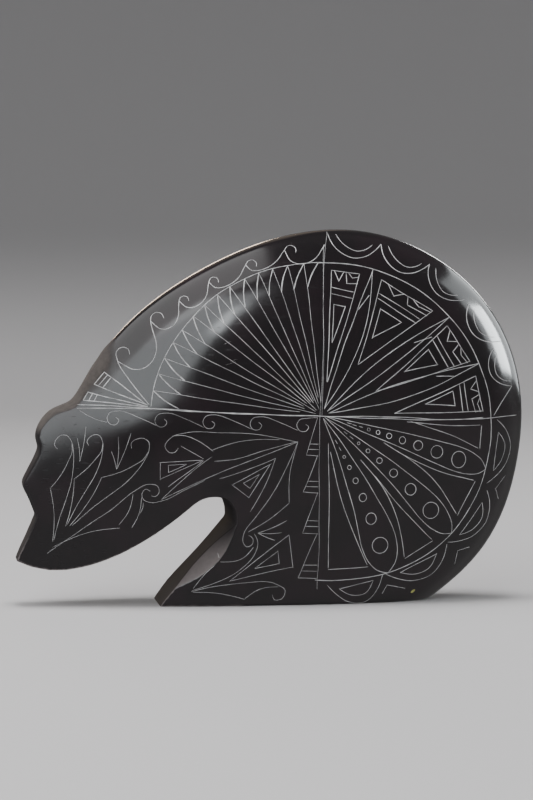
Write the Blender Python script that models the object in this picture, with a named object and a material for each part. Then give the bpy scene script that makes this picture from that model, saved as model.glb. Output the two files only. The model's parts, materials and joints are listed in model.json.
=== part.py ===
"""A bear carved from one slab of black stone, in metres, +Z up, nose towards -X.

The slab is ground to a cushion: thickest at the bear's heart, round along the back
and the rump, thin towards the nose. The face with its ear, the slanted opening
between jaw and foreleg and the flat base are then cut through it, and the edge of the
foreleg is scooped away on both sides. The origin is on the base, under the middle of
the length, and the side with the finer engraving faces -Y.
"""

import math

import bmesh
import bpy
import numpy as np
from mathutils import Vector
from mathutils.geometry import interpolate_bezier

# Driving dimensions, in metres
LENGTH = 0.1404
THICKNESS = 0.0300
NOSE_THICKNESS = 0.0186
HEAD_LENGTH = 0.0600
SCOOP_WIDTH = 0.0036

# How finely the forms are divided
SPOKES = 150
RINGS = 12
CURVE_STEPS = 10
SCOOP_STEPS = 16

# The drawing is in hundredths of the length, and the slab is cut flat at its ground
UNIT = LENGTH / 100.0
GROUND = 0.5
HEART = (12.64, 36.86)

# The slab's outline before it is cut: angle about the heart in degrees, and reach
OUTLINE = (
    (90, 36.45), (75, 36.55), (60, 36.70), (45, 37.05), (30, 37.32), (15, 37.38),
    (0, 37.36), (-10, 37.48), (-20, 37.98), (-30, 38.80), (-40, 39.60), (-50, 40.15),
    (-60, 40.75), (-70, 42.0), (-90, 46.0), (-112, 53.0), (-133, 63.5), (-150, 74.0),
    (-164, 76.5), (-174, 70.0), (-180, 62.5), (-185, 56.0), (-189, 51.6), (-193, 48.85),
    (-198, 46.65), (-204, 44.75), (-211, 42.70), (-219, 40.65), (-227, 39.05),
    (-237, 37.70), (-247, 36.92), (-258, 36.50),
)

# The cushion's face falls away with this power of the share of the reach
SWELL_POWER = 3.0
FLAT_SHARE = 0.12

# The face from the crest down to the nose: x, z, and how much its wall rounds over
FACE = (
    (-31.2, 54.5, 0.30), (-32.6, 50.4, 0.30), (-33.9, 48.4, 0.30), (-35.2, 46.6, 0.30),
    (-36.7, 44.0, 0.31), (-38.3, 41.3, 0.33), (-39.2, 40.2, 0.34), (-40.4, 39.6, 0.34),
    (-42.7, 38.8, 0.34), (-44.1, 37.7, 0.32), (-45.2, 36.3, 0.28), (-45.9, 34.9, 0.22),
    (-46.2, 33.5, 0.17), (-46.05, 32.3, 0.14), (-45.65, 31.3, 0.12), (-45.95, 30.1, 0.12),
    (-46.8, 28.4, 0.11), (-47.8, 26.5, 0.10), (-48.6, 24.9, 0.07), (-48.75, 24.1, 0.05),
    (-48.5, 23.2, 0.04), (-47.4, 21.2, 0.03), (-46.5, 18.8, 0.02), (-46.15, 17.9, 0.02),
    (-46.6, 16.8, 0.02), (-47.8, 14.1, 0.02), (-48.9, 11.8, 0.02), (-50.0, 9.3, 0.02),
    (-51.5, 5.8, 0.02),
)
FACE_OUTSIDE = ((-66.0, 5.8), (-66.0, 54.5))
FACE_LAYERS = 6

# The opening between jaw and foreleg: three curves by their handles, jaw to foot
SLOT_CURVES = (
    ((-50.05, 9.40), (-40.08, 3.92), (-26.55, 11.04), (-15.79, 20.66)),
    ((-15.79, 20.66), (-13.37, 22.51), (-7.75, 22.90), (-8.05, 16.60)),
    ((-8.05, 16.60), (-12.60, 12.20), (-17.70, 7.20), (-22.99, 0.0)),
)
SLOT_OUTSIDE = ((-27.5, -8.0), (-72.0, -8.0), (-72.0, 17.5), (-58.0, 13.8))

# The scoop starts at the top of the foreleg's curve, ends at this share of it, and is this
# many times as deep as it is wide
SCOOP_END = 0.80
SCOOP_SLANT = 1.5


def at(x, z, y=0.0):
    """A point of the drawing as a point of the model."""
    return Vector((x * UNIT, y, (z - GROUND) * UNIT))


def outline_reach(angles):
    """How far the slab reaches from the heart, on one smooth closed curve."""
    knots = np.radians([angle for angle, _ in OUTLINE])
    reach = np.array([value for _, value in OUTLINE])
    count = len(knots)
    gap = np.diff(np.append(knots, knots[0] - 2.0 * math.pi))
    rise = np.diff(np.append(reach, reach[0])) / gap
    system = np.zeros((count, count))
    for row in range(count):
        system[row, row - 1] += gap[row - 1]
        system[row, row] += 2.0 * (gap[row - 1] + gap[row])
        system[row, (row + 1) % count] += gap[row]
    bend = np.linalg.solve(system, 6.0 * (rise - np.roll(rise, 1)))
    after = np.roll(bend, -1)
    turned = knots[0] - np.mod(knots[0] - angles, 2.0 * math.pi)
    span = np.clip(np.searchsorted(-knots, -turned, side="right") - 1, 0, count - 1)
    run = turned - knots[span]
    slope = rise[span] - gap[span] * (2.0 * bend[span] + after[span]) / 6.0
    curl = (after[span] - bend[span]) / (6.0 * gap[span])
    return reach[span] + run * (slope + run * (bend[span] / 2.0 + run * curl))


def outline_points():
    """The outline as offsets from the heart, evenly spaced along its length."""
    turn = np.radians(90.0) - np.linspace(0.0, 2.0 * math.pi, 3601)
    reach = outline_reach(turn)
    x, z = reach * np.cos(turn), reach * np.sin(turn)
    walked = np.append(0.0, np.cumsum(np.hypot(np.diff(x), np.diff(z))))
    stops = np.linspace(0.0, walked[-1], SPOKES + 1)[:-1]
    return list(zip(np.interp(stops, walked, x), np.interp(stops, walked, z)))


def head_taper(x):
    """The share of the full thickness that is left at x, thinner to the nose."""
    nose = -LENGTH / 2.0
    along = min(max((nose + HEAD_LENGTH - x) / HEAD_LENGTH, 0.0), 1.0)
    eased = along * along * (3.0 - 2.0 * along)
    return 1.0 + (NOSE_THICKNESS / THICKNESS - 1.0) * eased


def curve_points(handles, steps):
    """Points along one curve of the drawing, both ends among them."""
    start, leave, arrive, end = (Vector(handle) for handle in handles)
    return interpolate_bezier(start, leave, arrive, end, steps + 1)


def loft(name, rings):
    """A closed body through rings of points, with a flat cap at each end."""
    bm = bmesh.new()
    loops = [[bm.verts.new(point) for point in ring] for ring in rings]
    for lower, upper in zip(loops, loops[1:]):
        for index in range(len(lower)):
            bm.faces.new((lower[index - 1], lower[index], upper[index], upper[index - 1]))
    bm.faces.new(loops[0])
    bm.faces.new(loops[-1])
    bmesh.ops.recalc_face_normals(bm, faces=bm.faces)
    return add_object(name, bm)


def add_object(name, bm):
    """The bmesh as an object in the scene."""
    mesh = bpy.data.meshes.new(name)
    bm.to_mesh(mesh)
    bm.free()
    body = bpy.data.objects.new(name, mesh)
    bpy.context.collection.objects.link(body)
    return body


def cushion():
    """The ground slab: rings from the middle of one side, round the rim, to the other."""
    outline = outline_points()
    last = math.acos(FLAT_SHARE)
    rings = []
    for step in range(-RINGS, RINGS + 1):
        phase = last * step / RINGS
        share = math.cos(phase)
        swell = math.sqrt(max(1.0 - share**SWELL_POWER, 0.0))
        side = math.copysign(THICKNESS / 2.0, step)
        ring = []
        for x, z in outline:
            point = at(HEART[0] + share * x, HEART[1] + share * z)
            point.y = side * swell * head_taper(point.x)
            ring.append(point)
        rings.append(ring)
    return loft("bear", rings)


def face_cutter():
    """All that lies in front of the face, its wall rounding over to both sides."""
    half = 0.6 * THICKNESS
    line = [Vector((x, z)) for x, z, _ in FACE]
    inward = []
    for index in range(len(line)):
        before = line[max(index - 1, 0)]
        after = line[min(index + 1, len(line) - 1)]
        along = (after - before).normalized()
        inward.append(Vector((-along.y, along.x)))
    rings = []
    for layer in range(-FACE_LAYERS, FACE_LAYERS + 1):
        y = half * layer / FACE_LAYERS
        sag = y * y / (THICKNESS / 4.0) / UNIT
        ring = [at(*(line[i] + inward[i] * sag * FACE[i][2]), y) for i in range(len(line))]
        ring += [at(x, z, y) for x, z in FACE_OUTSIDE]
        rings.append(ring)
    return loft("face cutter", rings)


def slot_cutter():
    """The opening between jaw and foreleg, and all that lies under the jaw."""
    points = [Vector(SLOT_CURVES[0][0])]
    for curve in SLOT_CURVES:
        points += curve_points(curve, CURVE_STEPS)[1:]
    points += [Vector(corner) for corner in SLOT_OUTSIDE]
    half = 0.6 * THICKNESS
    return loft("slot cutter", [[at(*point, y) for point in points] for y in (-half, half)])


def base_cutter():
    """All that lies under the flat base."""
    bm = bmesh.new()
    size = Vector((1.4 * LENGTH, 2.0 * THICKNESS, 0.4 * LENGTH))
    bmesh.ops.create_cube(bm, size=1.0)
    bmesh.ops.scale(bm, verts=bm.verts, vec=size)
    bmesh.ops.translate(bm, verts=bm.verts, vec=(0.0, 0.0, -size.z / 2.0))
    return add_object("base cutter", bm)


def slab_face(point, side):
    """A point of the middle plane brought out to one face of the cushion."""
    offset_x = point.x / UNIT - HEART[0]
    offset_z = point.z / UNIT + GROUND - HEART[1]
    angle = np.array([math.atan2(offset_z, offset_x)])
    share = math.hypot(offset_x, offset_z) / float(outline_reach(angle)[0])
    swell = math.sqrt(max(1.0 - share**SWELL_POWER, 0.0))
    return point + Vector((0.0, side * THICKNESS / 2.0 * swell * head_taper(point.x), 0.0))


def scoop_cutter(side):
    """A slanting lens off the foreleg's edge along the opening, on one face."""
    leg = [at(*point) for point in curve_points(SLOT_CURVES[-1], SCOOP_STEPS)]
    last = min(round(SCOOP_END * SCOOP_STEPS), SCOOP_STEPS)
    spare = 0.4 * SCOOP_WIDTH
    front = Vector((0.0, side, 0.0))
    rings = []
    for index in range(last + 1):
        before, after = leg[max(index - 1, 0)], leg[min(index + 1, SCOOP_STEPS)]
        along = (after - before).normalized()
        away = Vector((along.z, 0.0, -along.x))
        bite = SCOOP_WIDTH * math.sin(math.pi * index / last)
        edge = slab_face(leg[index], side)
        rings.append([
            edge - away * (bite + spare) + front * spare,
            edge + away * spare - front * (bite * SCOOP_SLANT + spare),
            edge + away * spare + front * spare,
        ])
    return loft("scoop cutter front" if side < 0 else "scoop cutter back", rings)


def cut(body, cutter):
    """Cut a body with a cutter that is not part of the model."""
    cutter.hide_render = True
    cutter.display_type = "WIRE"
    boolean = body.modifiers.new(cutter.name, "BOOLEAN")
    boolean.operation = "DIFFERENCE"
    boolean.solver = "EXACT"
    boolean.object = cutter


def black_stone():
    """Polished black stone with a slight plum tint."""
    material = bpy.data.materials.new("black stone")
    material.use_nodes = True
    shader = material.node_tree.nodes["Principled BSDF"]
    shader.inputs["Base Color"].default_value = (0.012, 0.010, 0.011, 1.0)
    shader.inputs["Roughness"].default_value = 0.12
    shader.inputs["Metallic"].default_value = 0.0
    return material


def main():
    for old in list(bpy.data.objects):
        bpy.data.objects.remove(old)
    bear = cushion()
    bear.data.materials.append(black_stone())
    cut(bear, face_cutter())
    cut(bear, slot_cutter())
    cut(bear, scoop_cutter(-1.0))
    cut(bear, scoop_cutter(1.0))
    cut(bear, base_cutter())
    bear.data.shade_smooth()
    bear.data.set_sharp_from_angle(angle=math.radians(35.0))


main()
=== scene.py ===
"""A standing bear of polished black stone, its faces engraved with fine lines.

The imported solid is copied, its facets and arrises are smoothed, and the engraved lines
are cut into it as grooves. Sizes are in metres, but the engraving is drawn in
millimetres right of and above the middle of its disc. Clock angles are in degrees,
clockwise from the top, and other angles are in degrees too.
"""

import json
import math
import random

import bmesh
import bpy
import numpy as np
from mathutils import Matrix, Quaternion, Vector
from mathutils.bvhtree import BVHTree
from mathutils.interpolate import poly_3d_calc

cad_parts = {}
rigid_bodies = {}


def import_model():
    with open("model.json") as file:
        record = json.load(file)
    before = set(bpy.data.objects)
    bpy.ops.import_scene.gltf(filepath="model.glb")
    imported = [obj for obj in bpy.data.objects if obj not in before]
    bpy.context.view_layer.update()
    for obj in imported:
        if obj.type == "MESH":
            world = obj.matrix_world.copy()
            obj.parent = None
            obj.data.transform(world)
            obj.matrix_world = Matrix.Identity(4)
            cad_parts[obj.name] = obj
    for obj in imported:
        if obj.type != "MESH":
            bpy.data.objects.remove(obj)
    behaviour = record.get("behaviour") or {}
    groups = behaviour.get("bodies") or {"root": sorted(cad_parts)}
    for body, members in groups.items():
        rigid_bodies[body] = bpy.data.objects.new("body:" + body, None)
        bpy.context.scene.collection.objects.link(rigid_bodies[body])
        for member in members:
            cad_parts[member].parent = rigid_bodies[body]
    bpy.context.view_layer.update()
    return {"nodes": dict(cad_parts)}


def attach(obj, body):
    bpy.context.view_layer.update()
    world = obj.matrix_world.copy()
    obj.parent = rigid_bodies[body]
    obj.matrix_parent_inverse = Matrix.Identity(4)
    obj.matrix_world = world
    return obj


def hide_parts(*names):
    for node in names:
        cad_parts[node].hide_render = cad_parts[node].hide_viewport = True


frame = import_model()

# Camera
CAMERA_AZIMUTH = -7.5
CAMERA_ELEVATION = 3.0
CAMERA_DISTANCE = 0.75
CAMERA_TARGET = Vector((-0.0013, 0.0, 0.0553))
CAMERA_LENS = 123.0
CAMERA_SENSOR = 36.0

# Studio: the floor and its wall, the point that the lights face, and the light from all round
FLOOR_RADIUS = 0.9
WALL_BEND = 0.6
WALL_BEND_STEPS = 12
WALL_HEIGHT = 2.2
WALL_SIDES = 96
BACKDROP_RISE = 0.12
LIT_POINT = Vector((0.0, 0.0, 0.05))
ROUND_LIGHT = 0.30
FLOOR_GLOW = 0.25
UNDERSIDE_SHADE = 0.33
REAR_SHADE = 0.55

# Body: the angles between its faces, in degrees, and how finely it is meshed
FACET_ANGLE = 25.0
FACET_SKEW = 60.0
ARRIS_ANGLE = 33.0
VOXEL = 0.00040
SMOOTH_ROUNDS = 8
KEPT_SHARE = 0.10

# Engraving in metres: the disc's middle, a groove at full press, and where a point that is
# laid on the body starts from, out from its middle plane, or is sought past its outline
DISC = Vector((0.0118, 0.0, 0.0519))
LINE_WIDTH = 0.00020
LINE_DEPTH = 0.00009
LAY_FROM = 0.1
LAY_PAST_OUTLINE = 0.001

# How much the press differs between strokes, waves along one, and is at its ends
PRESS_RANGE = (0.85, 1.12)
PRESS_WAVE = 0.15
END_PRESS = 0.6

# Press of the rays and of the toothed rim beside them
RAY_PRESS = 0.58
TOOTH_PRESS = 1.35

# Strokes in millimetres: between their points, and how far the hand waves and overruns
LINE_STEP = 0.8
CIRCLE_STEP = 0.45
WAVER = 0.06
OVERRUN = 0.25

# How many points a bend in a stroke gets, and how far it bows by chance, in its lengths
BEND_POINTS = 3.0
BOW_SLIP = 0.006

# Seeds: their radius as a share of the pod, and the least drawn round, in millimetres
SEED_SIZE = 0.062
SEED_LEAST = 0.35

# How far the disc's ring reaches in millimetres, every 45 degrees of the clock
RING_REACH = (41.1, 43.7, 47.4, 49.1, 45.0, 45.4, 46.1, 42.9)

# The finish, and the light painted on the cut surfaces, change between these places, in metres:
# forward of the origin, or above it
FACE = (0.042, 0.046)
HEAD = (0.036, 0.058)
OPENING = (0.008, 0.010)
OPENING_TOP = (0.031, 0.034)
# Below this height the scoops are ground grey, which also paints the sheen of the light that
# reaches them
RUBBED_SHEEN_TOP = (0.012, 0.022)
# Above this height the upward-facing cut surfaces get painted light from above
PAINTED_LIGHT_FOOT = (0.036, 0.050)

# It changes too where the surface turns sideways or upward by these shares; where it turns upward,
# the change is painted light from above
FACE_SIDEWAYS = (0.80, 0.93)
SCOOP_SIDEWAYS = (0.30, 0.45)
PAINTED_LIGHT_UPWARD = (0.15, 0.45)

# How many patches of each kind there are in about a metre, and how the scratches slant
MOTTLE = 70.0
CLOUDS = 120.0
RIPPLES = 190.0
CLUMPS = 420.0
GRAIN = 900.0
FLECK_GRAIN = 2500.0
DUST_GRAIN = 9000.0
SCRATCHES = (60.0, 1400.0, 1400.0)
SCRATCH_SLANT = 24.0

# Colours, and the sockets of a Mix node that mixes colours
BLACK = (0.0054, 0.0040, 0.0050, 1.0)
PLUM = (0.0095, 0.0050, 0.0072, 1.0)
BROWN = (0.0120, 0.0082, 0.0080, 1.0)
# Ground grey stone, made paler also as a painted sheen where light reaches the lower scoops
GROUND_AND_SHEEN = (0.140, 0.120, 0.118, 1.0)
# A paler brown, painted on upward-facing cut surfaces as light from above
PAINTED_LIGHT = (0.073, 0.063, 0.058, 1.0)
DUST = (0.70, 0.695, 0.70, 1.0)
THIN_DUST = (0.42, 0.416, 0.42, 1.0)
FLOOR_PALE = (0.49, 0.48, 0.485, 1.0)
# The wall's grey, painted darker than the floor as shade
SHADED_BACKDROP = (0.22, 0.217, 0.22, 1.0)
WARM = (1.0, 0.80, 0.62)
COOL = (0.93, 0.98, 1.0)
ROUND_COLOUR = (1.0, 0.98, 0.98, 1.0)
MIX_FIRST, MIX_SECOND, MIX_RESULT = 6, 7, 2

# A yellow fleck near the base: its middle, its length and width, and its slant in degrees
FLECK = (0.0382, 0.0029)
FLECK_SIZE = (0.0017, 0.0009)
FLECK_SLANT = 35.0
FLECK_COLOUR = (0.42, 0.42, 0.12, 1.0)

# Shapes drawn from (0, 0) to (1, 0) and placed between two points
WAVE = (
    (0, 0), (0.02, -0.16), (0.07, -0.34), (0.2, -0.46), (0.4, -0.5), (0.6, -0.44),
    (0.75, -0.32), (0.89, -0.13), (1, 0),
)
WAVE_CREST = ((1.08, 0.05), (1.19, 0.035), (1.25, -0.06), (1.21, -0.15))
PLUME_BACK = (
    (0, 0), (0.22, -0.015), (0.42, -0.045), (0.62, -0.068), (0.78, -0.062), (0.9, -0.042),
    (1, 0), (1.04, 0.05), (1.03, 0.10), (0.985, 0.14), (0.92, 0.15), (0.89, 0.115),
)
PLUME_TIP = ((0.97, -0.015), (0.88, -0.03), (0.80, -0.01), (0.65, 0.04), (0.5, 0.12))
PLUME_FRONT = ((0.5, 0.12), (0.35, 0.07), (0.14, 0.025), (-0.02, 0.01))
SCALLOP = (
    (0, 0), (0.08, -0.16), (0.25, -0.30), (0.5, -0.36), (0.75, -0.27), (0.9, -0.13), (1, 0),
)
SCALLOP_INSIDE = (
    (0.15, 0.02), (0.25, -0.1), (0.4, -0.19), (0.57, -0.22), (0.72, -0.16), (0.84, -0.05),
)
PETAL = ((0, 0), (0.14, 0.19), (0.37, 0.32), (0.67, 0.28), (0.88, 0.13), (1, 0))
PETAL_INSIDE = ((0.19, 0.06), (0.37, 0.21), (0.6, 0.2), (0.8, 0.08))
POD_SIDE = (
    (0.02, 0), (0.22, 0.024), (0.42, 0.048), (0.56, 0.063), (0.7, 0.082), (0.81, 0.09),
    (0.9, 0.077), (0.965, 0.045), (1, 0),
)


def direction(azimuth, elevation):
    """The unit vector towards a viewer at this azimuth and elevation."""
    a, e = math.radians(azimuth), math.radians(elevation)
    return Vector((math.sin(a) * math.cos(e), -math.cos(a) * math.cos(e), math.sin(e)))


VIEW = direction(CAMERA_AZIMUTH, CAMERA_ELEVATION)


def make_camera():
    """The camera, in front of the finer engraving and a little towards the head."""
    data = bpy.data.cameras.new("camera")
    data.lens = CAMERA_LENS
    data.sensor_width = CAMERA_SENSOR
    data.clip_start = 0.01
    camera = bpy.data.objects.new("camera", data)
    bpy.context.collection.objects.link(camera)
    camera.location = CAMERA_TARGET + CAMERA_DISTANCE * VIEW
    camera.rotation_mode = "QUATERNION"
    camera.rotation_quaternion = (-VIEW).to_track_quat("-Z", "Y")
    bpy.context.scene.camera = camera


def softbox(name, off_view, clock, size, radiance, distance=1.0, roll=0.0, colour=(1, 1, 1)):
    """A soft light that the camera doesn't see: off the view by an angle, at a clock angle.

    The second of its sizes points away from the view, or is rolled clockwise from there.
    """
    right = -VIEW.cross(Vector((0, 0, 1))).normalized()
    up = right.cross(-VIEW).normalized()
    turn, off = math.radians(clock), math.radians(off_view)
    radial = right * math.sin(turn) + up * math.cos(turn)
    towards = VIEW * math.cos(off) + radial * math.sin(off)
    outward = radial * math.cos(off) - VIEW * math.sin(off)
    outward.rotate(Quaternion(towards, -math.radians(roll)))
    data = bpy.data.lights.new(name, "AREA")
    data.shape = "RECTANGLE"
    data.size, data.size_y = size
    data.energy = radiance * math.pi * size[0] * size[1]
    data.color = colour
    light = bpy.data.objects.new(name, data)
    bpy.context.collection.objects.link(light)
    turned = Matrix((outward.cross(towards), outward, towards)).transposed().to_4x4()
    light.matrix_world = Matrix.Translation(LIT_POINT + distance * towards) @ turned
    light.visible_camera = False
    return light


def make_object(name, bm):
    """The bmesh as an object in the scene."""
    mesh = bpy.data.meshes.new(name)
    bm.to_mesh(mesh)
    bm.free()
    piece = bpy.data.objects.new(name, mesh)
    bpy.context.collection.objects.link(piece)
    return piece


def applied(piece):
    """The piece's mesh with its modifiers applied."""
    evaluated = piece.evaluated_get(bpy.context.evaluated_depsgraph_get())
    return bpy.data.meshes.new_from_object(evaluated)


def smooth_body():
    """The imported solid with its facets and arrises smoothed, in very many faces."""
    bm = bmesh.new()
    bm.from_mesh(frame["nodes"]["bear"].data)
    bmesh.ops.remove_doubles(bm, verts=bm.verts, dist=1e-6)
    bmesh.ops.join_triangles(
        bm, faces=bm.faces, angle_face_threshold=math.radians(FACET_ANGLE),
        angle_shape_threshold=math.radians(FACET_SKEW),
    )
    crease = bm.edges.layers.float.new("crease_edge")
    for edge in bm.edges:
        if edge.calc_face_angle(0.0) > math.radians(ARRIS_ANGLE):
            edge[crease] = 1.0
    body = make_object("smooth body", bm)
    form = body.modifiers.new("smooth form", "SUBSURF")
    form.levels = form.render_levels = 2
    remesh = body.modifiers.new("even faces", "REMESH")
    remesh.mode = "VOXEL"
    remesh.voxel_size = VOXEL
    soften = body.modifiers.new("soft arrises", "SMOOTH")
    soften.factor = 0.5
    soften.iterations = SMOOTH_ROUNDS
    mesh = applied(body)
    body.modifiers.clear()
    body.data = mesh
    return body


def ring_reach(clock):
    """How far the ring is from the disc's middle, smoothly between its named reaches."""
    place = clock / 45.0
    index, t = int(place // 1), place % 1.0
    a, b, c, d = (RING_REACH[(index + k) % len(RING_REACH)] for k in (-1, 0, 1, 2))
    return b + 0.5 * t * (c - a + t * (2 * a - 5 * b + 4 * c - d + t * (3 * (b - c) + d - a)))


def on_disc(clock, share=1.0):
    """The point at a clock angle and a share of the ring's reach."""
    a = math.radians(clock)
    return Vector((math.sin(a), math.cos(a))) * share * ring_reach(clock)


def between(a, b, share):
    """The point a share of the way from a to b."""
    return Vector(a).lerp(Vector(b), share)


def smoothed(points):
    """Points a step apart or closer on a smooth curve through the given ones."""
    knots = np.array([tuple(point) for point in points], float)
    gaps = np.hypot(*np.diff(knots, axis=0).T)[:, None]
    slopes = np.diff(knots, axis=0) / gaps
    if len(knots) == 2:
        tangents = np.vstack([slopes, slopes])
    else:
        inner = (slopes[:-1] * gaps[1:] + slopes[1:] * gaps[:-1]) / (gaps[1:] + gaps[:-1])
        first = 1.5 * slopes[:1] - 0.5 * inner[:1]
        last = 1.5 * slopes[-1:] - 0.5 * inner[-1:]
        tangents = np.vstack([first, inner, last])
    line = [knots[:1]]
    for i, gap in enumerate(gaps[:, 0]):
        bend = np.abs(tangents[i] - tangents[i + 1]).max()
        count = max(math.ceil(gap / LINE_STEP), math.ceil(bend * BEND_POINTS))
        t = np.linspace(0.0, 1.0, count + 1)[1:, None]
        rise = t * t * (3.0 - 2.0 * t)
        leave = gap * t * (1.0 - t) ** 2 * tangents[i]
        arrive = gap * t * t * (1.0 - t) * tangents[i + 1]
        line.append(knots[i] * (1.0 - rise) + knots[i + 1] * rise + leave - arrive)
    return np.vstack(line)


class Drawing:
    """Engraved lines on one face of the body, each as wide as the graver is pressed."""

    def __init__(self, seed):
        self.hand = random.Random(seed)
        self.press = 1.0
        self.strokes = []

    def curve(self, *points):
        """One stroke through points, as steady as a hand makes it."""
        line = smoothed(points)
        along = np.append(0.0, np.cumsum(np.hypot(*np.diff(line, axis=0).T)))
        for axis in (0, 1):
            phase, pitch = self.hand.uniform(0.0, math.tau), self.hand.uniform(4.0, 9.0)
            line[:, axis] += WAVER * np.sin(phase + along / pitch * 2.0)
        self.strokes.append((line, False, self.press))

    def bow(self, start, end, sag=0.0):
        """One stroke that bows to its left by a share of its length."""
        start, end = Vector(start), Vector(end)
        left = Vector((start.y - end.y, end.x - start.x))
        slip = self.hand.uniform(-BOW_SLIP, BOW_SLIP)
        self.curve(start, between(start, end, 0.5) + left * (sag + slip), end)

    def legs(self, *corners):
        """Straight strokes from corner to corner."""
        for start, end in zip(corners, corners[1:]):
            start, end = Vector(start), Vector(end)
            over = (end - start).normalized() * self.hand.uniform(0.0, OVERRUN)
            self.bow(start, end + over)

    def placed(self, shape, start, end, rise=1.0):
        """One stroke of a named shape, from start to end, its height times the rise."""
        start = Vector(start)
        ahead = Vector(end) - start
        left = Vector((-ahead.y, ahead.x)) * rise
        self.curve(*(start + x * ahead + y * left for x, y in shape))

    def circle(self, middle, radius):
        """A closed round stroke."""
        count = max(10, round(math.tau * radius / CIRCLE_STEP))
        squash = self.hand.uniform(0.88, 1.0)
        turns = [math.tau * k / count for k in range(count)]
        line = [(radius * squash * math.cos(turn), radius * math.sin(turn)) for turn in turns]
        self.strokes.append((np.array(line) + np.array(middle), True, self.press))

    def nest(self, a, b, c, share):
        """A triangle, and a smaller one inside it."""
        self.legs(a, b, c, a)
        middle = (Vector(a) + Vector(b) + Vector(c)) / 3.0
        inner = [between(middle, corner, share) for corner in (a, b, c)]
        self.legs(*inner, inner[0])


def level_line(drawing):
    """The level line through the disc's middle, with a second line along most of it."""
    drawing.curve(
        (-65.5, 2.9), (-50.0, 2.2), (-46.0, 1.9), (0.0, -0.3), (21.0, -0.7), (33.0, -1.5),
        (55.6, -0.9),
    )
    drawing.curve((-65.5, 1.8), (-48.0, 1.9), (-20.0, 0.5), (-1.0, -0.2))
    drawing.curve((2.0, -0.4), (20.0, -1.2), (32.0, -1.6), (45.0, -1.2))


def upright_line(drawing):
    """The upright line through the disc's middle, doubled above it."""
    drawing.curve((3.4, 50.0), (2.2, 46.0), (1.3, 41.0), (0.6, 20.0), (0.1, 0.0))
    drawing.curve(
        (1.6, 46.0), (1.2, 41.5), (0.2, 12.0), (-0.5, -0.5), (-0.7, -20.0), (-0.6, -36.0),
        (-0.9, -47.5),
    )


def ring(drawing):
    """The ring round three quarters of the disc, in three strokes that overlap."""
    for first, last in ((273, 366), (358, 440), (438, 543)):
        drawing.curve(*(on_disc(clock) for clock in range(first, last, 8)))


def rays(drawing, first, last, count):
    """Rays from the middle to the ring, with a toothed rim between them."""
    pitch = (last - first) / count
    clocks = [first + pitch * k + drawing.hand.uniform(-0.5, 0.5) for k in range(count + 1)]
    drawing.press = RAY_PRESS
    for clock in clocks[1:-1]:
        drawing.bow(on_disc(clock), on_disc(clock, drawing.hand.uniform(0.02, 0.14)))
    drawing.press = TOOTH_PRESS
    for clock, after in zip(clocks, clocks[1:]):
        drawing.bow(on_disc(after), on_disc(clock, 0.84), -0.05)


def feather(drawing, clock, left, right):
    """A long feather from the middle to the ring, bowed to both sides."""
    drawing.bow(on_disc(clock, 0.04), on_disc(clock), left)
    drawing.bow(on_disc(clock + 2.0, 0.05), on_disc(clock, 0.99), -right)
    drawing.bow(on_disc(clock - 1.0, 0.72), on_disc(clock + 1.8, 0.83))


def wedge(drawing, left, right, apex, apex_share, rim_share=0.95):
    """A triangle that points to the middle, with cloud steps, bars and a nested triangle."""
    tip = on_disc(apex, apex_share)
    corners = on_disc(left, rim_share), on_disc(right, rim_share)

    def inside(across, along):
        return between(tip, between(*corners, across), along)

    drawing.bow(corners[0], tip)
    drawing.bow(corners[1], tip)
    drawing.legs(*corners)
    drawing.legs(inside(0.12, 1.0), inside(0.30, 0.91), inside(0.45, 1.0))
    drawing.legs(inside(0.52, 0.99), inside(0.60, 0.90), inside(1.0, 0.91))
    drawing.legs(inside(0.62, 0.995), inside(0.78, 0.955), inside(1.0, 0.97))
    for along in (0.84, 0.78):
        drawing.bow(inside(0.02, along + 0.01), inside(0.98, along - 0.01))
    drawing.legs(inside(0.75, 0.69), inside(0.15, 0.70), inside(0.30, 0.36), inside(0.75, 0.69))


def pod(drawing, clock, bend, first, growth, count, plumpness=1.0):
    """A pod from the middle to the ring, bent to its left, with seeds that grow outward."""
    tip = on_disc(clock)
    left = Vector((-tip.y, tip.x))

    def inside(share, off=0.0):
        return tip * share + left * (plumpness * off + bend * math.sin(math.pi * share))

    drawing.curve(*(inside(share, half) for share, half in POD_SIDE))
    drawing.curve(*(inside(share, -half) for share, half in POD_SIDE))
    for k in range(count):
        share = first * growth**k
        radius = SEED_SIZE * share**1.5 * tip.length
        if radius < SEED_LEAST:
            drawing.legs(inside(share - 0.012), inside(share + 0.012))
        else:
            drawing.circle(inside(share), radius)


def spear(drawing, outer, *sides):
    """A long plain triangle between two pods; a side has a start, a clock angle and a sag."""
    for start, clock, sag in sides:
        drawing.bow(on_disc(*start), on_disc(clock, outer), sag)
    drawing.legs(*(on_disc(clock, outer + 0.01) for _, clock, _ in sides))


def scallop(drawing, start, end):
    """A double arc that sags towards the disc, like a rain cloud."""
    drawing.placed(SCALLOP, start, end)
    drawing.placed(SCALLOP_INSIDE, start, end)


def petal(drawing, start, end, rise=1.0):
    """An arc that bulges away from the disc, with a smaller half round inside it."""
    drawing.placed(PETAL, start, end, rise)
    drawing.placed(PETAL_INSIDE, start, end, rise)
    drawing.placed((PETAL_INSIDE[0], PETAL_INSIDE[-1]), start, end, rise)


def cloud_border(drawing):
    """Rain clouds round the upper right of the disc."""
    scallop(drawing, (3.2, 49.0), (17.6, 46.1))
    scallop(drawing, (17.6, 46.1), (31.2, 40.6))
    scallop(drawing, (31.2, 40.8), (40.6, 31.0))
    scallop(drawing, (41.8, 29.7), (51.0, 19.5))
    scallop(drawing, (48.6, 17.4), (54.1, 7.1))
    drawing.legs((54.1, 7.1), (48.3, -0.6))


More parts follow.
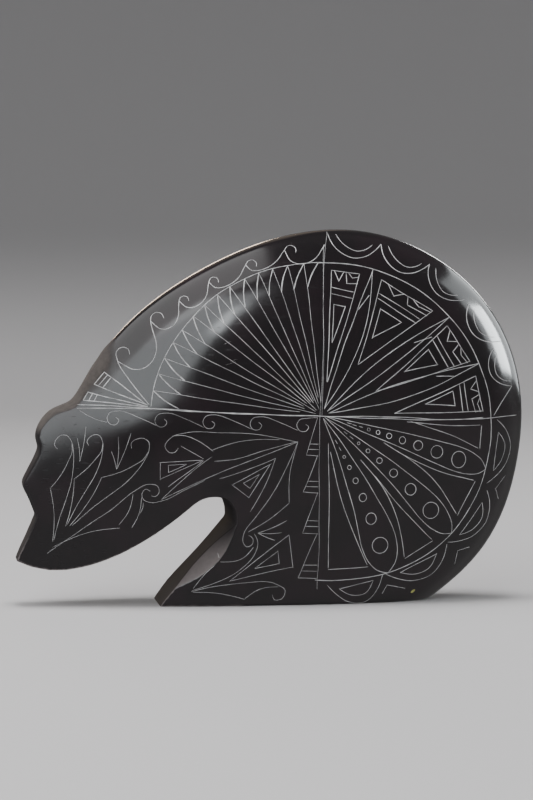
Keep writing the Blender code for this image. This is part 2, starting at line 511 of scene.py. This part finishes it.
def petal_border(drawing):
    """Petals round the lower right of the disc, with a bent mark between each two."""
    petal(drawing, (49.2, -1.8), (46.5, -19.3))
    petal(drawing, (46.6, -21.3), (35.6, -35.4))
    petal(drawing, (35.4, -35.9), (18.2, -43.7))
    drawing.press = 0.6
    petal(drawing, (17.4, -43.7), (2.0, -46.4), 1.35)
    drawing.legs((52.3, -17.4), (49.3, -21.0), (50.4, -24.0))
    drawing.legs((42.4, -37.0), (38.7, -37.9), (38.2, -41.7))
    drawing.legs((24.0, -48.1), (18.8, -46.8), (17.4, -49.3))


def wave_border(drawing):
    """A running scroll from the neck to the crown, its troughs less and less deep."""
    bases = (
        (-54.4, 14.6), (-45.4, 25.2), (-37.7, 30.8), (-29.6, 35.9), (-19.7, 40.6), (-9.0, 44.6),
        (2.1, 46.1),
    )
    troughs = (1.0, 0.9, 0.75, 0.55, 0.5, 0.8)
    drawing.curve(
        (-46.4, 2.9), (-49.0, 6.2), (-51.6, 9.8), (-54.4, 14.6), (-54.7, 16.9), (-53.1, 18.2),
        (-51.6, 17.7), (-51.3, 16.3),
    )
    for start, end, trough in zip(bases, bases[1:], troughs):
        crest = () if end == bases[-1] else WAVE_CREST
        drawing.placed((*((x, y * trough) for x, y in WAVE), *crest), start, end)


def curl_row(drawing):
    """A row of rolling curls under the level line."""
    curl = (
        (0.8, 0.3), (1.6, -0.5), (0.9, -1.6), (-0.7, -1.6), (-1.6, 0.0), (-0.8, 1.5), (1.2, 1.9),
    )
    drawing.curve((-65.0, 1.4), (-61.5, -0.6), (-57.6, -1.9))
    count = 5
    for k in range(count):
        middle = Vector((-56.0 + 12.7 * k, -0.7 - 0.5 * k))
        points = [middle + Vector(point) for point in curl]
        if k < count - 1:
            points += [middle + Vector((6.8, 0.2)), middle + Vector((11.4, -1.9))]
        else:
            points.append(Vector((-1.3, -0.6)))
        drawing.curve(*points)


def ladder(drawing):
    """Stacked steps that hang left of the upright line."""
    tops = (-0.6, -10.9, -20.9, -32.2)
    feet = ((-4.3, -10.8), (-5.1, -20.8), (-5.1, -31.9), (-6.2, -44.3))
    for top, foot in zip(tops, feet):
        head = (-1.1, top)
        drawing.bow(head, foot)
        drawing.bow(foot, (-0.9, foot[1] - 0.3))
        for share in (0.84, 0.70):
            start = between(head, foot, share)
            drawing.bow(start, (-0.9, start.y - 0.1))


def comb(drawing, root, low, high):
    """A narrow wedge on the neck, with three bars across its wide end."""
    drawing.bow(root, low)
    drawing.bow(root, high)
    for share in (1.0, 0.92, 0.84):
        drawing.legs(between(root, low, share), between(root, high, share))


def plume(drawing, root, shoulder):
    """A long feather with a hooked end and a stepped front edge."""
    drawing.placed(PLUME_BACK, root, shoulder)
    drawing.placed(PLUME_TIP, root, shoulder)
    drawing.placed(PLUME_FRONT, root, shoulder)


def plumes(drawing):
    """The three plumes on the head."""
    plume(drawing, (-71.8, -33.7), (-67.2, -6.6))
    plume(drawing, (-68.4, -29.5), (-58.8, -6.8))
    plume(drawing, (-67.0, -29.6), (-46.4, -8.8))


def sprout(drawing, foot, *tips):
    """A few lines that spread from one foot."""
    for tip in tips:
        drawing.bow(tip, foot, 0.03)


def head_feathers(drawing):
    """Three plumes and a long leaf on the head, with small sprouts between them."""
    plumes(drawing)
    sprout(drawing, (-64.9, -12.3), (-65.6, -6.1), (-63.2, -2.9))
    sprout(drawing, (-55.1, -14.4), (-54.7, -5.8), (-56.6, -9.6), (-51.3, -4.7))
    drawing.curve(
        (-73.7, -37.3), (-64.5, -30.8), (-57.0, -25.6), (-50.5, -20.4), (-46.6, -18.4),
        (-44.2, -18.9), (-43.8, -20.6), (-44.8, -21.8), (-45.9, -21.6),
    )
    drawing.curve(
        (-46.2, -20.4), (-47.5, -19.8), (-48.4, -21.0), (-47.9, -22.6), (-46.2, -23.3),
        (-43.0, -22.9), (-37.0, -20.0), (-31.6, -17.3),
    )
    drawing.bow((-72.2, -35.6), (-54.3, -30.3), 0.06)
    drawing.bow((-54.5, -29.5), (-50.8, -21.1), -0.08)
    drawing.bow((-51.1, -30.3), (-48.6, -22.0), -0.08)
    drawing.bow((-48.9, -26.4), (-48.0, -23.4), -0.08)


def shoulder_feathers(drawing):
    """Feathers, leaves and nested triangles that spread from behind the shoulder."""
    heart = Vector((-6.6, -7.2))
    drawing.curve(
        heart, (-17.0, -5.2), (-27.6, -4.5), (-36.5, -4.6), (-40.6, -5.9), (-42.3, -8.2),
        (-41.2, -9.8), (-39.8, -9.8), (-38.8, -8.6),
    )
    drawing.curve((-40.2, -5.5), (-36.8, -5.4), (-33.0, -7.0), (-29.4, -9.6))
    drawing.curve((-29.8, -9.2), (-24.0, -7.3), (-17.0, -6.5), (-11.4, -6.5))
    drawing.legs((-38.0, -8.1), (-32.0, -11.6))
    drawing.nest((-43.5, -12.5), (-43.5, -17.0), (-32.2, -12.0), 0.42)
    drawing.bow((-29.8, -11.1), (-43.2, -22.6), -0.03)
    drawing.legs((-32.0, -12.0), (-41.3, -19.1))
    drawing.curve((-29.2, -12.2), (-23.6, -11.8), (-15.5, -9.3), heart)
    drawing.curve((-43.2, -22.6), (-33.0, -17.6), (-19.5, -12.2), heart)
    drawing.bow((-12.6, -11.5), (-27.8, -16.9), 0.02)
    drawing.bow((-12.6, -11.5), (-19.4, -26.0), 0.04)
    drawing.nest((-24.4, -18.6), (-13.9, -13.1), (-19.8, -22.1), 0.40)
    drawing.curve(
        heart, (-13.0, -20.5), (-18.1, -27.7), (-21.0, -31.6), (-21.4, -34.0), (-20.4, -35.5),
        (-18.9, -34.9), (-18.7, -33.3), (-19.8, -32.4),
    )
    drawing.bow(heart, (-8.9, -23.8), -0.05)
    drawing.bow((-8.9, -23.8), (-20.0, -31.4), 0.05)
    sprout(drawing, (-17.2, -31.8), (-9.4, -28.4), (-10.8, -31.7), (-12.7, -33.8))


def foot_leaves(drawing):
    """The leaves over the forefoot."""
    drawing.curve(
        (-18.3, -31.9), (-17.3, -34.2), (-18.3, -38.0), (-22.0, -41.8), (-29.0, -45.4),
        (-35.0, -47.5),
    )
    drawing.curve((-18.4, -35.6), (-21.5, -38.6), (-27.9, -39.6))
    drawing.bow((-29.0, -40.6), (-34.6, -46.9), -0.04)
    drawing.nest((-8.9, -32.4), (-7.6, -41.2), (-24.8, -44.8), 0.38)
    drawing.curve(
        (-35.2, -47.7), (-28.0, -46.2), (-20.6, -45.4), (-12.0, -45.9), (-9.6, -47.6),
        (-10.4, -50.0), (-12.6, -50.2), (-13.1, -48.8),
    )
    drawing.curve((-34.8, -47.8), (-28.0, -48.2), (-20.8, -50.0))
    drawing.bow((-20.8, -50.0), (-11.4, -46.6), 0.12)


def scuffs(drawing):
    """A few light scratches and the nick on the foreleg's edge."""
    drawing.press = 0.2
    drawing.legs((-26.4, 19.2), (-24.5, 20.0))
    drawing.legs((-25.9, 13.6), (-23.4, 14.5))
    drawing.legs((-24.6, 14.6), (-23.1, 15.2))
    drawing.press = 0.5
    drawing.legs((-28.0, -37.2), (-27.7, -38.3))


def front_drawing():
    """The drawing on the side with the finer engraving."""
    drawing = Drawing(7)
    level_line(drawing)
    ring(drawing)
    wedge(drawing, 4.6, 16.0, 9.0, 0.22)
    feather(drawing, 20.5, 0.02, 0.08)
    wedge(drawing, 24.8, 47.9, 36.2, 0.39)
    feather(drawing, 53.7, 0.055, 0.02)
    wedge(drawing, 55.6, 71.0, 66.9, 0.35)
    feather(drawing, 72.9, 0.045, 0.06)
    wedge(drawing, 76.7, 89.3, 89.2, 0.42)
    cloud_border(drawing)
    wave_border(drawing)
    drawing.press = 1.15
    comb(drawing, (-46.8, 2.8), (-60.8, 8.3), (-58.1, 11.5))
    comb(drawing, (-46.8, 2.4), (-63.8, 4.0), (-62.5, 6.2))
    drawing.press = 0.75
    pod(drawing, 108.5, 0.008, 0.16, 1.2, 10, 0.78)
    pod(drawing, 132.0, 0.028, 0.162, 1.26, 8, 0.82)
    pod(drawing, 156.5, 0.03, 0.174, 1.25, 8, 1.16)
    spear(drawing, 0.93, ((94.9, 0.49), 94.2, -0.02), ((94.5, 0.51), 102.3, 0.03))
    spear(drawing, 0.95, ((114.2, 0.38), 113.4, -0.05), ((114.6, 0.40), 126.0, 0.08))
    spear(drawing, 0.945, ((138.7, 0.45), 138.0, -0.03), ((138.8, 0.33), 149.3, 0.09))
    spear(drawing, 0.925, ((167.0, 0.22), 162.5, -0.035), ((166.6, 0.17), 177.2, 0.0))
    petal_border(drawing)
    drawing.press = 0.5
    ladder(drawing)
    shoulder_feathers(drawing)
    drawing.press = 0.3
    upright_line(drawing)
    drawing.press = 0.45
    curl_row(drawing)
    drawing.press = 0.5
    head_feathers(drawing)
    foot_leaves(drawing)
    rays(drawing, 272.5, 360.0, 15)
    scuffs(drawing)
    return drawing


def back_drawing():
    """A plainer drawing in the same manner on the other side."""
    drawing = Drawing(11)
    level_line(drawing)
    ring(drawing)
    drawing.press = 0.8
    for clock in (22.0, 45.0, 68.0):
        feather(drawing, clock, 0.05, 0.05)
    for clock in (112.0, 135.0, 158.0):
        pod(drawing, clock, 0.0, 0.22, 1.3, 6)
    petal_border(drawing)
    wave_border(drawing)
    upright_line(drawing)
    curl_row(drawing)
    plumes(drawing)
    rays(drawing, 272.5, 360.0, 12)
    return drawing


def laid(stroke, side, tree, lift):
    """A stroke laid on the body's face at this side, or on its edge, lifted a little off it."""
    points = []
    for u, v in stroke:
        start = DISC + Vector((u / 1000.0, side * LAY_FROM, v / 1000.0))
        place, normal, _, _ = tree.ray_cast(start, Vector((0.0, -side, 0.0)))
        if place is None:
            start.y = side * LAY_PAST_OUTLINE
            place, normal, _, _ = tree.find_nearest(start)
        points.append(place + normal * lift)
    return points


def graver(points, radius, closed, hand):
    """A thin tube along a stroke, narrower at its ends, that cuts a groove."""
    curve = bpy.data.curves.new("graver", "CURVE")
    curve.dimensions = "3D"
    curve.bevel_depth = radius * hand.uniform(*PRESS_RANGE)
    curve.bevel_resolution = 1
    curve.use_fill_caps = True
    spline = curve.splines.new("POLY")
    spline.points.add(len(points) - 1)
    spline.use_cyclic_u = closed
    phase, pitch = hand.uniform(0.0, math.tau), hand.uniform(2.0, 6.0)
    for index, (point, place) in enumerate(zip(spline.points, points)):
        point.co = (*place, 1.0)
        point.radius = 1.0 + PRESS_WAVE * math.sin(phase + index / pitch)
    if not closed:
        spline.points[0].radius = spline.points[-1].radius = END_PRESS
    swept = bpy.data.objects.new("graver", curve)
    mesh = bpy.data.meshes.new_from_object(swept)
    bpy.data.objects.remove(swept)
    bm = bmesh.new()
    bm.from_mesh(mesh)
    bmesh.ops.remove_doubles(bm, verts=bm.verts, dist=1e-7)
    bmesh.ops.recalc_face_normals(bm, faces=bm.faces)
    for face in bm.faces:
        face.material_index = 1
    bm.to_mesh(mesh)
    bm.free()
    return bpy.data.objects.new("graver", mesh)


def engraved(reference, drawings, materials):
    """The body in fewer faces, with the strokes cut into it as grooves."""
    tree = BVHTree.FromObject(reference, bpy.context.evaluated_depsgraph_get())
    # The radius of the round tool that cuts a line's width at a line's depth
    radius = (LINE_WIDTH**2 / 4.0 + LINE_DEPTH**2) / (2.0 * LINE_DEPTH)
    tools = bpy.data.collections.new("gravers")
    bpy.context.scene.collection.children.link(tools)
    for side, drawing in drawings:
        for stroke, closed, press in drawing.strokes:
            points = laid(stroke, side, tree, (radius - LINE_DEPTH) * press)
            tools.objects.link(graver(points, radius * press, closed, drawing.hand))
    body = bpy.data.objects.new("engraved_bear", reference.data.copy())
    bpy.context.collection.objects.link(body)
    body.data.materials.clear()
    for piece in (body, *tools.objects):
        for material in materials:
            piece.data.materials.append(material)
    fewer = body.modifiers.new("fewer faces", "DECIMATE")
    fewer.ratio = KEPT_SHARE
    cut = body.modifiers.new("grooves", "BOOLEAN")
    cut.operation = "DIFFERENCE"
    cut.solver = "MANIFOLD"
    cut.operand_type = "COLLECTION"
    cut.collection = tools
    mesh = applied(body)
    body.modifiers.clear()
    body.data = mesh
    for cutter in list(tools.objects):
        bpy.data.objects.remove(cutter)
    bpy.data.collections.remove(tools)
    polish(body.data, reference.data, tree)
    return body


def polish(mesh, fine, tree):
    """Shade the stone as smoothly as the fine mesh, up to the grooves' rims."""
    bm = bmesh.new()
    bm.from_mesh(mesh)
    for edge in bm.edges:
        edge.smooth = len({face.material_index for face in edge.link_faces}) < 2
    for face in bm.faces:
        face.smooth = True
    bm.to_mesh(mesh)
    bm.free()
    found = {}
    shading = []
    for polygon in mesh.polygons:
        for vertex in polygon.vertices:
            # A groove's faces keep their own shading, which is what a zero stands for
            if polygon.material_index:
                shading.append(Vector((0.0, 0.0, 0.0)))
                continue
            if vertex not in found:
                place, _, face, _ = tree.find_nearest(mesh.vertices[vertex].co)
                corners = [fine.vertices[k] for k in fine.polygons[face].vertices]
                weights = poly_3d_calc([corner.co for corner in corners], place)
                normal = Vector((0.0, 0.0, 0.0))
                for corner, weight in zip(corners, weights):
                    normal += corner.normal * weight
                found[vertex] = normal.normalized()
            shading.append(found[vertex])
    mesh.normals_split_custom_set(shading)


class Value:
    """An output of a node; an expression on it adds Math nodes."""

    def __init__(self, nodes, socket):
        self.nodes = nodes
        self.socket = socket

    def __add__(self, other):
        return self.nodes.math("ADD", self, other)

    def __sub__(self, other):
        return self.nodes.math("SUBTRACT", self, other)

    def __mul__(self, other):
        return self.nodes.math("MULTIPLY", self, other)

    def __abs__(self):
        return self.nodes.math("ABSOLUTE", self)

    def __radd__(self, other):
        return self.nodes.math("ADD", other, self)

    def __rsub__(self, other):
        return self.nodes.math("SUBTRACT", other, self)

    def __rmul__(self, other):
        return self.nodes.math("MULTIPLY", other, self)


class Nodes:
    """The nodes of one material or world."""

    def __init__(self, owner):
        owner.use_nodes = True
        self.tree = owner.node_tree

    def add(self, kind, sockets, output=0, **settings):
        """A node: its settings, then the values or links of its sockets; gives one output."""
        node = self.tree.nodes.new(kind)
        for name, setting in settings.items():
            setattr(node, name, setting)
        for name, value in sockets.items():
            self.feed(node, name, value)
        return Value(self, node.outputs[output])

    def feed(self, node, name, value):
        """Give one socket of a node a value or a link."""
        if isinstance(value, Value):
            self.tree.links.new(value.socket, node.inputs[name])
        else:
            node.inputs[name].default_value = value

    def surface(self, **sockets):
        """Feed the sockets of the shader, whose names are written with underscores."""
        for name, value in sockets.items():
            self.feed(self.tree.nodes["Principled BSDF"], name.replace("_", " "), value)

    def math(self, operation, *values):
        """A Math node on numbers or outputs."""
        return self.add("ShaderNodeMath", dict(enumerate(values)), operation=operation)

    def place(self, output="Object"):
        """Where a point is on its object, or which way the surface faces there."""
        return self.add("ShaderNodeTexCoord", {}, output)

    def part(self, vector, axis):
        """One of a vector's three numbers."""
        return self.add("ShaderNodeSeparateXYZ", {0: vector}, axis)

    def step(self, value, low, high):
        """A soft step from 0 at low to 1 at high."""
        sockets = {"Value": value, "From Min": low, "From Max": high}
        return self.add("ShaderNodeMapRange", sockets, interpolation_type="SMOOTHSTEP")

    def stretched(self, vector, scale, turn):
        """Places on a pattern that is turned and scaled by its own amount on each axis."""
        sockets = {"Vector": vector, "Scale": scale, "Rotation": turn}
        return self.add("ShaderNodeMapping", sockets)

    def noise(self, vector, scale, detail=2.0):
        """Soft noise from 0 to 1, with about this many patches in a metre."""
        return self.add("ShaderNodeTexNoise", {"Vector": vector, "Scale": scale, "Detail": detail})

    def mixed(self, share, first, second):
        """A colour between two others."""
        sockets = {"Factor": share, MIX_FIRST: first, MIX_SECOND: second}
        return self.add("ShaderNodeMix", sockets, MIX_RESULT, data_type="RGBA")

    def bump(self, height):
        """The surface's normal over a height in metres."""
        return self.add("ShaderNodeBump", {"Height": height, "Distance": 1.0})


def cut_through(nodes, place):
    """How far the surface is satin, scooped out, rubbed grey with a painted sheen, and painted
    paler as light from above.
    """
    forward = 0.0 - nodes.part(place, "X")
    height = nodes.part(place, "Z")
    facing = nodes.place("Normal")
    sideways, upward = abs(nodes.part(facing, "Y")), nodes.part(facing, "Z")
    in_face = nodes.step(forward, *FACE)
    in_opening = nodes.step(forward, *OPENING) * (1.0 - nodes.step(height, *OPENING_TOP))
    on_edge = 1.0 - nodes.step(sideways, *FACE_SIDEWAYS)
    satin = on_edge * nodes.math("MAXIMUM", in_face, in_opening)
    scoop = nodes.step(sideways, *SCOOP_SIDEWAYS) * in_opening * satin
    # Ground grey on the lower scoops, and partly a painted sheen of their lit part
    rubbed_and_sheen = scoop * (1.0 - nodes.step(height, *RUBBED_SHEEN_TOP))
    # Painted light from above: the cut surfaces of the face that look upward
    painted_light = satin * in_face * nodes.step(upward, *PAINTED_LIGHT_UPWARD)
    return satin, scoop, rubbed_and_sheen, painted_light * nodes.step(height, *PAINTED_LIGHT_FOOT)


def yellow_fleck(nodes, place):
    """Where the fleck is: a slanted oval with an uneven edge, on one face only."""
    right = nodes.part(place, "X") - FLECK[0]
    up = nodes.part(place, "Z") - FLECK[1]
    slant = math.radians(FLECK_SLANT)
    length = (right * math.cos(slant) + up * math.sin(slant)) * (2.0 / FLECK_SIZE[0])
    width = (up * math.cos(slant) - right * math.sin(slant)) * (2.0 / FLECK_SIZE[1])
    uneven = nodes.noise(place, FLECK_GRAIN) * 0.8
    oval = 1.0 - nodes.step(length * length + width * width + uneven, 0.9, 1.3)
    return oval * (1.0 - nodes.step(nodes.part(place, "Y"), -0.001, 0.0))


def stone():
    """Black stone, mottled with plum and brown: polished, but satin where it is cut through.

    The polish is duller on the head, and the cut edge on the neck and brow is painted paler where
    it faces upward, as light from above.
    """
    material = bpy.data.materials.new("black stone")
    nodes = Nodes(material)
    place = nodes.place()
    satin, scoop, rubbed_and_sheen, painted_light = cut_through(nodes, place)
    fleck = yellow_fleck(nodes, place)

    patches = nodes.step(nodes.noise(place, MOTTLE, 5.0), 0.40, 0.66)
    grain = nodes.noise(place, GRAIN, 3.0)
    colour = nodes.mixed(patches, BLACK, PLUM)
    colour = nodes.mixed(nodes.step(grain, 0.56, 0.75) * 0.6, colour, BROWN)
    colour = nodes.mixed(satin * 0.2, colour, BROWN)
    # Ground grey and painted sheen on the lower scoops, mottled by the grain
    colour = nodes.mixed(rubbed_and_sheen * (0.6 + 0.4 * grain), colour, GROUND_AND_SHEEN)
    # Painted light from above on the upward-facing cut surfaces, mottled by the grain
    colour = nodes.mixed(painted_light * (0.3 + 1.2 * grain), colour, PAINTED_LIGHT)

    along = nodes.stretched(place, SCRATCHES, (0.0, math.radians(SCRATCH_SLANT), 0.0))
    scratches = nodes.step(nodes.noise(along, 1.0, 1.0), 0.66, 0.74)
    cloudy = nodes.noise(place, CLOUDS, 4.0)
    on_head = nodes.step(0.0 - nodes.part(place, "X"), *HEAD)
    polished = 0.10 + 0.07 * cloudy + 0.10 * scratches + on_head * (0.04 + 0.14 * cloudy)
    roughness = polished + satin * (0.78 + 0.10 * grain) - scoop * 0.43

    relief = nodes.noise(place, RIPPLES) * 6e-6 - scratches * 2e-6 + grain * satin * 3e-5
    nodes.surface(
        Base_Color=nodes.mixed(fleck, colour, FLECK_COLOUR),
        Roughness=roughness + fleck * 0.5,
        Normal=nodes.bump(relief),
    )
    return material


def stone_dust():
    """The pale bruised stone and dust in the grooves."""
    material = bpy.data.materials.new("engraved stone")
    nodes = Nodes(material)
    place = nodes.place()
    filled = nodes.step(nodes.noise(place, CLUMPS, 4.0), 0.30, 0.62)
    nodes.surface(
        Base_Color=nodes.mixed(filled, THIN_DUST, DUST),
        Roughness=0.85,
        Normal=nodes.bump(nodes.noise(place, DUST_GRAIN) * 1.5e-5),
    )
    return material


def matte_floor():
    """A pale, plain, matte floor, painted darker where it bends up into the backdrop, as shade on
    the wall.
    """
    material = bpy.data.materials.new("pale floor")
    nodes = Nodes(material)
    # Painted shade: darker as the floor rises into the wall
    risen = nodes.step(nodes.part(nodes.place(), "Z"), 0.0, BACKDROP_RISE)
    nodes.surface(Base_Color=nodes.mixed(risen, FLOOR_PALE, SHADED_BACKDROP), Roughness=0.9)
    nodes.surface(Specular_IOR_Level=0.1)
    return material


def surroundings():
    """Soft light from all round, darker from behind and from straight below."""
    world = bpy.data.worlds.new("world")
    bpy.context.scene.world = world
    nodes = Nodes(world)
    towards = nodes.place("Generated")
    down = 0.0 - nodes.part(towards, "Z")
    below, far_below = nodes.step(down, 0.0, 0.12), nodes.step(down, 0.62, 1.0)
    behind = nodes.step(nodes.part(towards, "Y"), 0.1, 0.6)
    level = ROUND_LIGHT + FLOOR_GLOW * below - UNDERSIDE_SHADE * far_below
    background = nodes.tree.nodes["Background"]
    nodes.feed(background, "Strength", level * (1.0 - REAR_SHADE * behind))
    nodes.feed(background, "Color", ROUND_COLOUR)


def make_floor():
    """A pale floor that bends up into a wall all round."""
    bm = bmesh.new()
    line = [(0.0, 0.0), (FLOOR_RADIUS, 0.0)]
    for step in range(1, WALL_BEND_STEPS + 1):
        turn = math.radians(90.0 * step / WALL_BEND_STEPS)
        line.append((FLOOR_RADIUS + WALL_BEND * math.sin(turn), WALL_BEND * (1.0 - math.cos(turn))))
    line.append((FLOOR_RADIUS + WALL_BEND, WALL_HEIGHT))
    verts = [bm.verts.new((x, 0.0, z)) for x, z in line]
    edges = [bm.edges.new(pair) for pair in zip(verts, verts[1:])]
    bmesh.ops.spin(
        bm, geom=verts + edges, axis=(0, 0, 1), cent=(0, 0, 0),
        angle=math.tau, steps=WALL_SIDES, use_merge=True,
    )
    bmesh.ops.remove_doubles(bm, verts=bm.verts, dist=1e-5)
    bmesh.ops.recalc_face_normals(bm, faces=bm.faces)
    floor = make_object("floor", bm)
    floor.data.shade_smooth()
    floor.data.materials.append(matte_floor())
    floor.visible_glossy = False


def make_lights():
    """Softboxes, each with its angle off the view, clock angle, size and radiance."""
    surroundings()
    softbox("edge of left softbox", 24.0, 345.5, (0.17, 0.10), 10.0, roll=-45.0, colour=COOL)
    softbox("near end of left softbox", 30.4, 321.6, (0.55, 0.46), 4.4, roll=-26.0, colour=COOL)
    softbox("far end of left softbox", 73.5, 325.0, (0.90, 1.33), 2.3)
    rim_lights = (
        softbox("middle of right softbox", 94.3, 69.5, (0.40, 0.42), 31.0, colour=COOL),
        softbox("edges of right softbox", 107.0, 63.0, (0.65, 1.3), 4.0, colour=COOL),
        softbox("left rim strip", 152.0, 328.0, (0.32, 0.17), 13.0, colour=WARM),
        softbox("left rim glow", 140.0, 325.0, (0.9, 0.6), 0.35, colour=WARM),
        softbox("right rim strip", 160.0, 45.0, (0.17, 0.15), 10.0),
    )
    for light in rim_lights:
        light.visible_diffuse = False
    overhead = softbox("overhead softbox", 87.0, 0.0, (0.45, 0.45), 26.0, 1.3)
    overhead.visible_glossy = False


make_camera()
make_floor()
make_lights()
reference = smooth_body()
drawings = ((-1.0, front_drawing()), (1.0, back_drawing()))
bear = engraved(reference, drawings, (stone(), stone_dust()))
bpy.data.objects.remove(reference)
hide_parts("bear")
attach(bear, "root")
